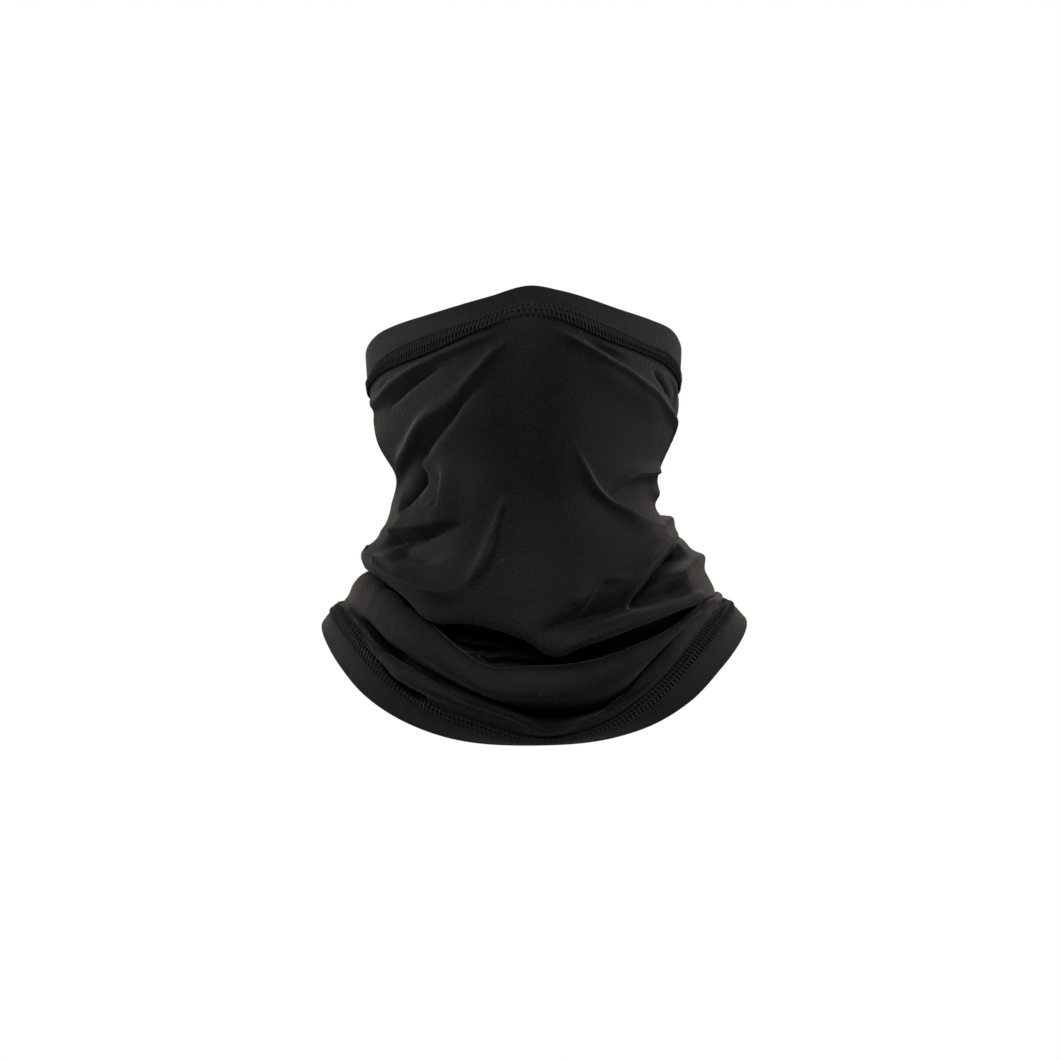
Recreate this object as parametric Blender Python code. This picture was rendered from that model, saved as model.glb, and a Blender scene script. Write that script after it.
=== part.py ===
"""Neck gaiter: a knitted tube with a folded hem at each end, in the shape that it takes when worn.

Frame: metres, +Z up the neck, -Y towards the wearer's face, +X towards the wearer's left.
The origin is the middle of the neck opening, where the tube is narrowest.

The cloth is one smooth surface through a stack of sections. Every piece is placed on that surface
by the turn round the neck, the distance down the cloth from its top edge, and a lift off the surface.
"""

import math
from dataclasses import dataclass, fields

import bmesh
import bpy
from mathutils import Vector

# Driving dimensions, in metres.
CLOTH = 0.0007  # thickness of one layer of the knit
HEM_DEPTH = 0.0168  # from a folded edge to the middle of its seam
HEM_SLIT = 0.0003  # air between the two leaves of a hem
BUTT_GAP = 0.0004  # between the hem's raw edges and the tube's
COVER_WIDTH = 0.0064  # a seam's cover thread, from side to side
THREAD_LAYER = 0.0004  # thickness of a zigzag layer of thread
NEEDLE_THREAD = 0.0005  # a needle line, as thick as its stitches stand
NEEDLE_PITCH = 0.0026  # between a seam's needle lines
AIR = 0.0003  # between pieces that lie on each other
NOSE_ROUNDING = 0.18  # how blunt the ridge over the nose is, 0 for a knife edge

# Worked out from those.
SEAM_TOP = HEM_DEPTH + COVER_WIDTH / 2 + AIR  # where the back seam's threads start, under the hem's
JOIN = HEM_DEPTH + BUTT_GAP / 2  # the tube's own edge
HEM_HALF = CLOTH + HEM_SLIT / 2  # half the thickness of a folded hem
COVER_LOW = HEM_HALF + AIR  # where a hem seam's cover thread starts, off the middle surface

# How finely the surface is cut up.
COLUMNS = 48  # round the neck
TUBE_ROWS = 16  # down the tube, between its hems
SEAM_ROWS = 16  # down the back seam
FOLD_STEPS = 4  # round a hem's folded edge
WALK_STEPS = 60  # samples that measure the distance down one column
SLOPE_STEP = 0.02  # how far to each side a point looks for the surface's slope
SHARP_ANGLE = math.radians(50)  # edges bent more than this are shaded sharp


@dataclass
class Section:
    """One level of the cloth, as a closed curve round the neck."""

    half_width: float  # at the wearer's ears
    front_reach: float  # from the neck's axis to the cloth at the front
    back_reach: float  # and at the nape
    side_height: float  # above the origin, at the ears
    front_rise: float  # how much higher the front is than the sides, as on a tilted ring
    back_rise: float  # how much higher the nape is than the sides
    peak: float = 0.0  # further rise of the front, with straight slopes like a tent
    nose: float = 0.0  # 0 for a round front, 1 for one as pointed as a wedge


SECTIONS = (
    Section(0.0815, 0.0960, 0.088, 0.084, 0.015, -0.024, 0.011, 0.50),  # top edge, on the nose
    Section(0.0810, 0.1090, 0.089, 0.064, 0.018, -0.022, 0.008, 0.50),  # nose tip
    Section(0.0790, 0.1060, 0.086, 0.036, 0.016, -0.020, 0.000, 0.35),  # mouth
    Section(0.0690, 0.0960, 0.074, 0.002, 0.006, -0.006, 0.000, 0.20),  # under the chin
    Section(0.0840, 0.0930, 0.074, -0.022, -0.018, 0.002, 0.000, 0.10),  # top of the cowl
    Section(0.0925, 0.0990, 0.080, -0.041, -0.042, 0.003, 0.000, 0.05),  # lowest fold
    Section(0.1035, 0.0980, 0.085, -0.053, -0.059, 0.000, 0.000, 0.00),  # bottom seam
    Section(0.1105, 0.0850, 0.089, -0.063, -0.058, -0.006, 0.000, 0.00),  # bottom edge
)


def section_at(level):
    """The section at a level between 0 and the last index, by a smooth curve through SECTIONS."""
    start = min(int(level), len(SECTIONS) - 2)
    share = level - start
    near = [SECTIONS[min(max(start + k, 0), len(SECTIONS) - 1)] for k in (-1, 0, 1, 2)]
    weights = (
        -0.5 * share + share**2 - 0.5 * share**3,
        1.0 - 2.5 * share**2 + 1.5 * share**3,
        0.5 * share + 2.0 * share**2 - 1.5 * share**3,
        -0.5 * share**2 + 0.5 * share**3,
    )
    names = [field.name for field in fields(Section)]
    return Section(*(sum(w * getattr(s, name) for w, s in zip(weights, near)) for name in names))


def tent(turn):
    """1 at the front, falling in nearly straight lines to 0 at the ears."""
    across, blunt = abs(math.sin(turn)), NOSE_ROUNDING
    return 1.0 - (math.hypot(across, blunt) - blunt) / (math.hypot(1.0, blunt) - blunt)


def surface(level, turn):
    """The point of the cloth's middle surface at a level, this far round from the front."""
    s = section_at(level)
    ahead = math.cos(turn)
    if ahead >= 0.0:
        y = -s.front_reach * ((1.0 - s.nose) * ahead + s.nose * tent(turn))
        z = s.side_height + s.front_rise * ahead + s.peak * tent(turn)
    else:
        behind = -ahead
        y = s.back_reach * behind
        z = s.side_height - s.front_rise * behind * (1.0 - behind) ** 2 + s.back_rise * behind**2
    return Vector((s.half_width * math.sin(turn), y, z))


class Column:
    """The line down the cloth at one turn round the neck, measured from the top edge."""

    def __init__(self, turn):
        self.turn = turn
        self.levels = [(len(SECTIONS) - 1) * k / WALK_STEPS for k in range(WALK_STEPS + 1)]
        points = [surface(level, turn) for level in self.levels]
        self.walked = [0.0]
        for a, b in zip(points, points[1:]):
            self.walked.append(self.walked[-1] + (b - a).length)

    @property
    def length(self):
        return self.walked[-1]

    def level(self, down):
        """The level that lies this far down the column."""
        for k in range(WALK_STEPS):
            if down <= self.walked[k + 1] or k == WALK_STEPS - 1:
                share = (down - self.walked[k]) / (self.walked[k + 1] - self.walked[k])
                return self.levels[k] + share * (self.levels[k + 1] - self.levels[k])

    def point(self, down, lift):
        """The point this far down the cloth and this far off its middle surface, outwards."""
        level, step, last = self.level(down), SLOPE_STEP, len(SECTIONS) - 1
        downwards = surface(min(level + step, last), self.turn) - surface(max(level - step, 0), self.turn)
        sideways = surface(level, self.turn + step) - surface(level, self.turn - step)
        outwards = downwards.cross(sideways).normalized()
        return surface(level, self.turn) + outwards * lift


def from_top(distance):
    return lambda column: distance


def from_bottom(distance):
    return lambda column: column.length - distance


def between(top, bottom, share):
    """A place that is this share of the way from one distance below the top to one above the bottom."""
    return lambda column: top + share * (column.length - bottom - top)


def material(name, colour, roughness):
    """A plain matte material, shared by every piece that asks for the same name."""
    found = bpy.data.materials.get(name)
    if found:
        return found
    made = bpy.data.materials.new(name)
    made.use_nodes = True
    shader = made.node_tree.nodes["Principled BSDF"]
    shader.inputs["Base Color"].default_value = (*colour, 1.0)
    shader.inputs["Roughness"].default_value = roughness
    shader.inputs["Metallic"].default_value = 0.0
    return made


def knit():
    return material("black_knit", (0.016, 0.016, 0.017), 0.82)


def thread():
    return material("black_thread", (0.010, 0.010, 0.011), 0.62)


def sweep(name, outline, columns, closed, finish):
    """One solid: the outline, a list of (place, lift), swept through the columns.

    A closed sweep goes all the way round the neck. An open one is capped at both ends, and its
    outline runs down the outside and back up the inside, so that its points face each other in pairs.
    """
    mesh = bpy.data.meshes.new(name)
    shape = bmesh.new()
    rings = [[shape.verts.new(c.point(place(c), lift)) for place, lift in outline] for c in columns]
    count = len(outline)
    for k in range(len(rings) if closed else len(rings) - 1):
        here, there = rings[k], rings[(k + 1) % len(rings)]
        for i in range(count):
            j = (i + 1) % count
            shape.faces.new((here[i], here[j], there[j], there[i]))
    if not closed:
        for ring in (rings[0], rings[-1]):
            for i in range(count // 2 - 1):
                shape.faces.new((ring[i], ring[i + 1], ring[count - 2 - i], ring[count - 1 - i]))
    bmesh.ops.recalc_face_normals(shape, faces=shape.faces)
    shape.to_mesh(mesh)
    shape.free()
    mesh.shade_smooth()
    mesh.set_sharp_from_angle(angle=SHARP_ANGLE)
    mesh.materials.append(finish)
    made = bpy.data.objects.new(name, mesh)
    bpy.context.scene.collection.objects.link(made)
    return made


def layer(places, low, high):
    """The outline of a flat layer through these places, between two lifts."""
    return [(p, high) for p in places] + [(p, low) for p in reversed(places)]


def round_the_neck():
    return [Column(math.tau * k / COLUMNS) for k in range(COLUMNS)]


def turn_at_nape(width):
    """The turn round the neck that this width takes up at the nape."""
    return width / SECTIONS[len(SECTIONS) // 2].half_width


def across_the_nape(middle, width, steps):
    """Evenly spaced columns over a strip of this width, whose middle is this far from the centre back."""
    start = math.pi + turn_at_nape(middle - width / 2)
    return [Column(start + turn_at_nape(width) * k / steps) for k in range(steps + 1)]


def fabric_tube():
    """The knit panel, wrapped round until its two side edges meet at the centre back."""
    half_slit = turn_at_nape(BUTT_GAP / 2)
    whole = math.tau - 2 * half_slit
    columns = [Column(math.pi + half_slit + whole * k / COLUMNS) for k in range(COLUMNS + 1)]
    places = [between(JOIN, JOIN, k / TUBE_ROWS) for k in range(TUBE_ROWS + 1)]
    sweep("fabric_tube", layer(places, -CLOTH / 2, CLOTH / 2), columns, False, knit())


def hem(name, measured_from):
    """A strip folded in half along its length, so that its fold is the gaiter's edge."""
    seam_end, slit_end = HEM_DEPTH - BUTT_GAP / 2, 2 * HEM_HALF
    leaf = [seam_end, HEM_DEPTH - COVER_WIDTH / 2, HEM_DEPTH / 2]
    outline = [(distance, HEM_HALF) for distance in leaf]
    for k in range(FOLD_STEPS + 1):
        bend = math.pi * k / FOLD_STEPS
        outline.append((HEM_HALF * (1.0 - math.sin(bend)), HEM_HALF * math.cos(bend)))
    outline += [(distance, -HEM_HALF) for distance in reversed(leaf)]
    outline += [(distance, -HEM_SLIT / 2) for distance in leaf + [slit_end]]
    outline += [(distance, HEM_SLIT / 2) for distance in [slit_end] + leaf[::-1]]
    placed = [(measured_from(distance), lift) for distance, lift in outline]
    sweep(name, placed, round_the_neck(), True, knit())


def hem_seam(name, measured_from):
    """A flat seam over the join of hem and tube: zigzag threads on both faces, and needle lines."""
    across = [measured_from(HEM_DEPTH + side * COVER_WIDTH / 2) for side in (-1, 0, 1)]
    high = COVER_LOW + THREAD_LAYER
    columns = round_the_neck()
    sweep(f"{name}_cover_thread", layer(across, COVER_LOW, high), columns, True, thread())
    sweep(f"{name}_looper_thread", layer(across, -high, -COVER_LOW), columns, True, thread())
    middle, radius = high + AIR + NEEDLE_THREAD / 2, NEEDLE_THREAD / 2
    for number in (1, 2, 3):
        place = HEM_DEPTH + (number - 2) * NEEDLE_PITCH
        outline = [
            (measured_from(place - radius), middle),
            (measured_from(place), middle + radius),
            (measured_from(place + radius), middle),
            (measured_from(place), middle - radius),
        ]
        sweep(f"{name}_needle_thread_{number}", outline, columns, True, thread())


def back_seam():
    """The flat seam that closes the panel into a tube, between the two hem seams."""
    places = [between(SEAM_TOP, SEAM_TOP, k / SEAM_ROWS) for k in range(SEAM_ROWS + 1)]
    low, high = CLOTH / 2 + AIR, CLOTH / 2 + AIR + THREAD_LAYER
    strip = across_the_nape(0.0, COVER_WIDTH, steps=2)
    sweep("back_seam_cover_thread", layer(places, low, high), strip, False, thread())
    sweep("back_seam_looper_thread", layer(places, -high, -low), strip, False, thread())
    needle = layer(places, high + AIR, high + AIR + NEEDLE_THREAD)
    for number, side in ((1, -1), (2, 1)):
        columns = across_the_nape(side * NEEDLE_PITCH / 2, NEEDLE_THREAD, steps=1)
        sweep(f"back_seam_needle_thread_{number}", needle, columns, False, thread())


def main():
    for old in list(bpy.data.objects):
        bpy.data.objects.remove(old)
    fabric_tube()
    hem("top_hem", from_top)
    hem("bottom_hem", from_bottom)
    hem_seam("top_seam", from_top)
    hem_seam("bottom_seam", from_bottom)
    back_seam()


main()
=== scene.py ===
"""The looks of the neck gaiter: draped jersey, folded hems and flat seams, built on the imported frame.

The cloth is one smooth surface through a stack of rows, which are closed curves round the neck. Folds are
then raised on it. Every piece, down to the last thread, is placed on that surface by its row, its turn round
the neck and its lift off the cloth. Tables are in millimetres and degrees, and all other values in metres.
"""

import math
from dataclasses import dataclass

import bpy
import numpy as np
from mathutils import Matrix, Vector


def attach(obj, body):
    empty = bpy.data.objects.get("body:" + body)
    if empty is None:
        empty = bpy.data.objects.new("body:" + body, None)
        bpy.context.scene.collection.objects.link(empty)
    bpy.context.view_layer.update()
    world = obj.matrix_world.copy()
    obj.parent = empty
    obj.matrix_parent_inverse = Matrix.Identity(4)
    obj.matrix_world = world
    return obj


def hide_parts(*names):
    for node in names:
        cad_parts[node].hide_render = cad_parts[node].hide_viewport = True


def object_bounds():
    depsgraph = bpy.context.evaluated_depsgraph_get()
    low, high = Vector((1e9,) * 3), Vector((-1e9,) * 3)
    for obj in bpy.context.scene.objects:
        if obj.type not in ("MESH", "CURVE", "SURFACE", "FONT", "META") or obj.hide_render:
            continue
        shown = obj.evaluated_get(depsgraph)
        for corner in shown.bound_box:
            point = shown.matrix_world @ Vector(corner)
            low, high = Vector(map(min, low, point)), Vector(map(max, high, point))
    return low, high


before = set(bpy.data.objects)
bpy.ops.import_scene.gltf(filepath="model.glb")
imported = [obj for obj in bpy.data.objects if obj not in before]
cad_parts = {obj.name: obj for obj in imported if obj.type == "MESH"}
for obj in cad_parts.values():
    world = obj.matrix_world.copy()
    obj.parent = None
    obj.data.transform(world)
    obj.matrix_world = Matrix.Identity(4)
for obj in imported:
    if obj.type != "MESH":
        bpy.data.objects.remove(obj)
cad_low, cad_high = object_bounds()

MM = 0.001
COLUMNS = 800  # round the neck
STEPS = 20  # from one row to the next

# The cloth and its sewing, as in the CAD model.
CLOTH = 0.0007
HEM_HALF = 0.00085  # half the thickness of a folded hem
HEM_SLIT = 0.0003
SEAM_WIDTH = 0.0064
NEEDLE_PITCH = 0.0026  # between needle lines
STITCH = 0.0025  # from one stitch to the next along a seam
CUT_WIDTH, CUT_LENGTH = 0.50, 0.296  # the tube's panel before it is sewn
RIB = 0.0011  # one column of knit loops, on the flat cloth
COURSE = 0.7 * RIB  # and one row of them
PANEL_EDGE = 0.04  # gap from the centre back to each cut edge of the tube, in columns
HEM_ROWS = 22  # points down each face of a hem
HEM_FOLD_ROWS = 9  # and round its fold
SMOOTHING = 2  # times that the folded cloth is relaxed
TINY = 1e-12  # keeps a length from being 0

# How folds are raised. Distances are in widths of the fold's slope.
SPINE_PLACES = 40  # places read along a fold's path
SPINE_SMOOTHING = 3  # times that the line through them is smoothed
SPINE_POINTS = 120  # even points along that line
FOLD_REACH = 3.2  # no fold shows beyond this
CRISP_FALL = 1.5  # how steeply a crisp fold falls off
CREST_ROUNDING = 0.17  # and how far its crest is rounded
FADE_PER_ROW = 1.6  # how quickly a fold fades in from the first row it may touch
BATCH = 20000  # points measured at a time

# Threads. Radii are along the cloth and off it.
THREAD_SIDES = 6
THREAD_TAPER = 0.3  # size of a thread's end against its middle
LEG = np.linspace(0.0, 1.0, 9)[:-1]  # places along one leg of a zigzag
COVER_RADII = (0.00050, 0.00034)
BACK_COVER_RADII = (0.00040, 0.00026)
NEEDLE_RADII = (0.00024, 0.00022)
COVER_LIFT = 0.00040  # from a hem's face, on the way across
COVER_HUMP = 0.0003  # and more than that at the middle
COVER_SUNK = 0.00012  # how far the way back lies below that face
BACK_COVER_LIFT = 0.00045  # from the tube's face, on the way across
BACK_RETURN_LIFT = 0.00025  # and on the way back
BACK_OUT = 0.45  # share of a back stitch that the way across takes

# Looks. Specks, clouds and cells are counted to the metre, and reliefs are in metres.
FLAT_MAP = "cloth"  # the UV map of the flat cloth
JERSEY_DARK = (0.0030, 0.0028, 0.0025, 1.0)
JERSEY_PALE = (0.0118, 0.0111, 0.0100, 1.0)
LINT = (0.05, 0.048, 0.045, 1.0)
THREAD = (0.0125, 0.0118, 0.0110, 1.0)
SHEEN = (1.0, 0.96, 0.90, 1.0)
WHITE = (1.0, 1.0, 1.0, 1.0)
FUZZ_SPECKS = 850.0
MOTTLE_CLOUDS = 35.0
LINT_CELLS = 42.0
TWIST_SPECKS = 2600.0
KNIT_RELIEF = 0.00014
TWIST_RELIEF = 0.00008


@dataclass
class Row:
    """One line round the cloth, in millimetres."""

    name: str
    right: float  # x at the wearer's right, at -90 degrees from the front
    left: float  # and at the wearer's left, at +90 degrees
    front: float  # reach towards the face
    back: float  # and towards the nape
    nose: float  # 0 for a round front, 1 for one as pointed as a wedge
    nape: float  # height at the centre back
    heights: tuple  # (degrees from the front, height), from -90 to 90


ROWS = (
    Row("edge_top", -87.6, 76.8, 95, 88, 0.5, 62,
        ((-90, 79.4), (-77, 84.7), (-65, 89.3), (-51, 93.2), (-36, 97.0), (-12, 104.8), (3, 110.1),
         (13, 107.9), (37, 99.6), (53, 95.4), (68, 91.6), (90, 81.5))),
    Row("seam_top_upper", -86.5, 76.0, 105.5, 88.5, 0.5, 48.5,
        ((-90, 64.2), (-74, 69.4), (-65, 75.2), (-57, 78.9), (-36, 86.5), (-14, 93.8), (2, 100.5),
         (10, 99.2), (32, 90.3), (50, 82.7), (64, 79.3), (75, 74.6), (90, 66.8))),
    Row("seam_top_lower", -85.7, 75.2, 108, 88.5, 0.5, 42,
        ((-90, 58.9), (-72, 65.6), (-59, 69.7), (-36, 76.7), (-16, 86.8), (2, 94.3), (7, 93.9),
         (32, 82.6), (51, 76.5), (62, 73.0), (71, 69.2), (90, 61.0))),
    Row("cheek", -83.9, 75.7, 109, 88, 0.45, 30,
        ((-90, 50.0), (-54, 58.1), (-29, 69.2), (3, 79.7), (28, 72.2), (53, 61.1), (90, 51.1))),
    Row("mouth", -81.8, 71.5, 107, 83, 0.4, 17,
        ((-90, 34.3), (-44, 40.7), (3, 52.2), (45, 43.3), (90, 34.3))),
    Row("jaw", -71.8, 64.7, 103, 76, 0.3, 5,
        ((-90, 14.3), (-41, 18.6), (3, 24.7), (44, 19.7), (90, 14.3))),
    Row("neck", -74.5, 63.6, 100, 73, 0.2, -4,
        ((-90, -1.4), (-38, -0.8), (4, 2.1), (40, 0.3), (90, -1.4))),
    Row("under_chin", -80.2, 74.7, 101, 75, 0.15, -12,
        ((-90, -15.1), (-40, -20.6), (2, -22.1), (37, -19.1), (90, -13.5))),
    Row("roll", -88.6, 84.1, 106, 78, 0.1, -20,
        ((-90, -25.1), (-50, -34.5), (-28, -43.3), (1, -49.1), (24, -43.3), (45, -34.4), (90, -26.1))),
    Row("lip", -88.1, 94.6, 107, 86, 0.05, -23,
        ((-90, -31.9), (-60, -39.7), (-48, -48.2), (-40, -57.2), (-21, -60.3), (-13, -63.2), (-4, -68.7),
         (4, -76.2), (14, -69.8), (22, -65.9), (31, -60.0), (43, -55.2), (58, -50.0), (90, -45.6))),
    Row("recess_roof", -87.0, 93.0, 86, 72, 0.0, -21,
        ((-90, -32.2), (-60, -38.0), (-40, -51.0), (-13, -57.0), (4, -66.0), (22, -59.0), (58, -48.0),
         (90, -46.5))),
    Row("recess_floor", -87.0, 93.0, 80, 71, 0.0, -29,
        ((-90, -33.5), (-56, -44.0), (-36, -63.0), (-18, -80.0), (0, -83.0), (25, -76.0), (52, -60.5),
         (90, -48.5))),
    Row("drape_crest", -88.6, 94.6, 103, 86, 0.0, -31,
        ((-90, -34.5), (-56, -44.3), (-45, -54.2), (-36, -63.2), (-29, -71.6), (-18, -82.0), (-3, -82.4),
         (6, -81.9), (16, -79.9), (25, -76.1), (33, -71.7), (43, -66.4), (52, -60.5), (61, -55.1),
         (90, -49.8))),
    Row("drape_face", -94.9, 95.1, 108, 88, 0.0, -39,
        ((-90, -42.4), (-56, -58.1), (-40, -71.3), (-26, -84.6), (-14, -94.4), (2, -97.5), (17, -94.4),
         (31, -84.7), (42, -73.9), (57, -60.1), (90, -50.8))),
    Row("drape_valley", -97.0, 95.7, 85, 74, 0.0, -43,
        ((-90, -47.7), (-69, -58.0), (-58, -65.9), (-49, -74.4), (-40, -79.7), (-30, -87.0), (-13, -98.8),
         (2, -105.8), (17, -105.4), (30, -95.6), (39, -80.7), (50, -63.7), (90, -51.3))),
    Row("low_crest", -99.1, 96.2, 104, 86, 0.0, -46,
        ((-90, -50.8), (-68, -62.6), (-54, -74.9), (-43, -83.7), (-35, -91.0), (-24, -98.2), (-6, -108.0),
         (5, -116.0), (15, -110.6), (28, -102.4), (38, -92.1), (46, -79.7), (57, -64.8), (71, -51.3),
         (90, -48.2))),
    Row("seam_low_upper", -101.8, 98.8, 100, 84, 0.0, -49,
        ((-90, -52.8), (-71, -56.0), (-57, -71.0), (-42, -86.3), (-30, -101.1), (-19, -107.3), (2, -116.7),
         (21, -110.4), (34, -97.6), (47, -82.4), (59, -67.0), (71, -56.0), (90, -51.0))),
    Row("seam_low_lower", -106.0, 104.6, 97, 85.5, 0.0, -55.5,
        ((-90, -56.5), (-75, -61.5), (-61, -73.2), (-50, -86.7), (-37, -99.9), (-22, -111.6), (2, -119.8),
         (22, -113.1), (37, -100.9), (50, -83.1), (66, -65.6), (90, -54.0))),
    Row("edge_low", -111.0, 111.6, 86, 89, 0.0, -69,
        ((-90, -63.4), (-78, -70.3), (-66, -81.8), (-51, -98.4), (-35, -111.8), (-23, -118.4), (1, -121.4),
         (20, -118.5), (32, -112.5), (46, -100.5), (60, -84.2), (77, -69.0), (90, -61.6))),
)
ORDER = [row.name for row in ROWS]


def step_of(name, share=0.0):
    """The grid row at a named row, or this share of the way to the next one."""
    return (ORDER.index(name) + share) * STEPS


JOIN_TOP = step_of("seam_top_upper", 0.5)
JOIN_LOW = step_of("seam_low_upper", 0.5)


# ---------------------------------------------------------------- curves and the bare surface

def slopes(knots, values):
    """The slope of a smooth curve at each knot, from its neighbours."""
    gaps = np.diff(knots, axis=0)
    gaps = gaps.reshape(gaps.shape + (1,) * (values.ndim - gaps.ndim))
    pieces = np.diff(values, axis=0) / gaps
    inner = (pieces[:-1] * gaps[1:] + pieces[1:] * gaps[:-1]) / (gaps[:-1] + gaps[1:])
    return np.concatenate([pieces[:1], inner, pieces[-1:]])


def bend(share, a, b, slope_a, slope_b, gap):
    """The point this share of the way along one span of a smooth curve."""
    s2, s3 = share**2, share**3
    return ((2 * s3 - 3 * s2 + 1) * a + (s3 - 2 * s2 + share) * gap * slope_a
            + (3 * s2 - 2 * s3) * b + (s3 - s2) * gap * slope_b)


def curve(knots, values, at):
    """A smooth curve through (knots, values), read at these places."""
    knots, values = np.asarray(knots, float), np.asarray(values, float)
    slope = slopes(knots, values)
    k = np.clip(np.searchsorted(knots, at) - 1, 0, len(knots) - 2)
    gap = knots[k + 1] - knots[k]
    return bend((at - knots[k]) / gap, values[k], values[k + 1], slope[k], slope[k + 1], gap)


def tent(turns, blunt=0.6):
    """1 at the front, where it is a little blunt, falling in nearly straight lines to 0 at the ears."""
    across = np.abs(np.sin(turns))
    return 1.0 - (np.hypot(across, blunt) - blunt) / (math.hypot(1.0, blunt) - blunt)


TURNS = np.linspace(-180.0, 180.0, COLUMNS + 1)


def ring(row):
    """The row's points at every column."""
    turns = np.radians(TURNS)
    ahead = np.cos(turns)
    front = -row.front * ((1.0 - row.nose) * ahead + row.nose * tent(turns))
    y = np.where(ahead >= 0, front, -row.back * ahead)
    x = (row.left + row.right) / 2 + (row.left - row.right) / 2 * np.sin(turns)
    (_, first), (_, last) = row.heights[0], row.heights[-1]
    knots = [-180, -135] + [turn for turn, _ in row.heights] + [135, 180]
    values = [row.nape, (row.nape + first) / 2, *(z for _, z in row.heights), (row.nape + last) / 2, row.nape]
    return np.stack([x, y, curve(knots, values, TURNS)], axis=-1) * MM


def down_the_columns(rings):
    """The grid of points on smooth curves down every column through its rings."""
    gaps = np.sqrt(np.maximum(np.linalg.norm(np.diff(rings, axis=0), axis=-1), 0.5 * MM))
    knots = np.concatenate([np.zeros_like(gaps[:1]), np.cumsum(gaps, axis=0)])
    slope = slopes(knots, rings)
    parts = []
    for k in range(len(rings) - 1):
        gap = gaps[k][None, :, None]
        share = (np.arange(STEPS) / STEPS)[:, None, None]
        parts.append(bend(share, rings[k][None], rings[k + 1][None], slope[k][None], slope[k + 1][None], gap))
    return np.concatenate(parts + [rings[-1:]])


def normals_of(grid):
    """Unit normals, pointing out of the tube."""
    down = np.gradient(grid, axis=0)
    wrapped = np.concatenate([grid[:, -2:-1], grid, grid[:, 1:2]], axis=1)
    across = wrapped[:, 2:] - wrapped[:, :-2]
    out = np.cross(down, across)
    return out / np.maximum(np.linalg.norm(out, axis=-1, keepdims=True), TINY)


def relaxed(grid, times, strength=0.5):
    """The grid with each inner point moved towards its neighbours."""
    grid = grid.copy()
    for _ in range(times):
        wrapped = np.concatenate([grid[:, -2:-1], grid, grid[:, 1:2]], axis=1)
        beside = (wrapped[:, 2:] + wrapped[:, :-2]) / 2
        above = (grid[2:] + grid[:-2]) / 2
        grid[1:-1] += strength * ((beside[1:-1] + above) / 2 - grid[1:-1])
        grid[[0, -1]] += strength * (beside[[0, -1]] - grid[[0, -1]])
    return grid


# ---------------------------------------------------------------- folds

@dataclass
class Fold:
    """A ridge in the cloth, or a hollow where rise is negative."""

    path: tuple  # (degrees from the front, row number), row 2.5 being halfway from the third row to the next
    rise: float  # height at its middle
    before: float  # width of the slope on the path's left, as it is walked
    after: float  # and on its right
    start: float  # share of the length over which it rises from nothing
    end: float  # and over which it falls again
    soft: bool = False  # a rounded top rather than a crisp one
    rows: tuple = ("seam_top_lower", "lip")  # it stays between these


def around(row):
    """A path right round the neck at this row number."""
    return tuple((turn, row) for turn in range(-180, 181, 15))


NO_FADE = 0.001  # a start or an end for a fold that runs right round

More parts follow.
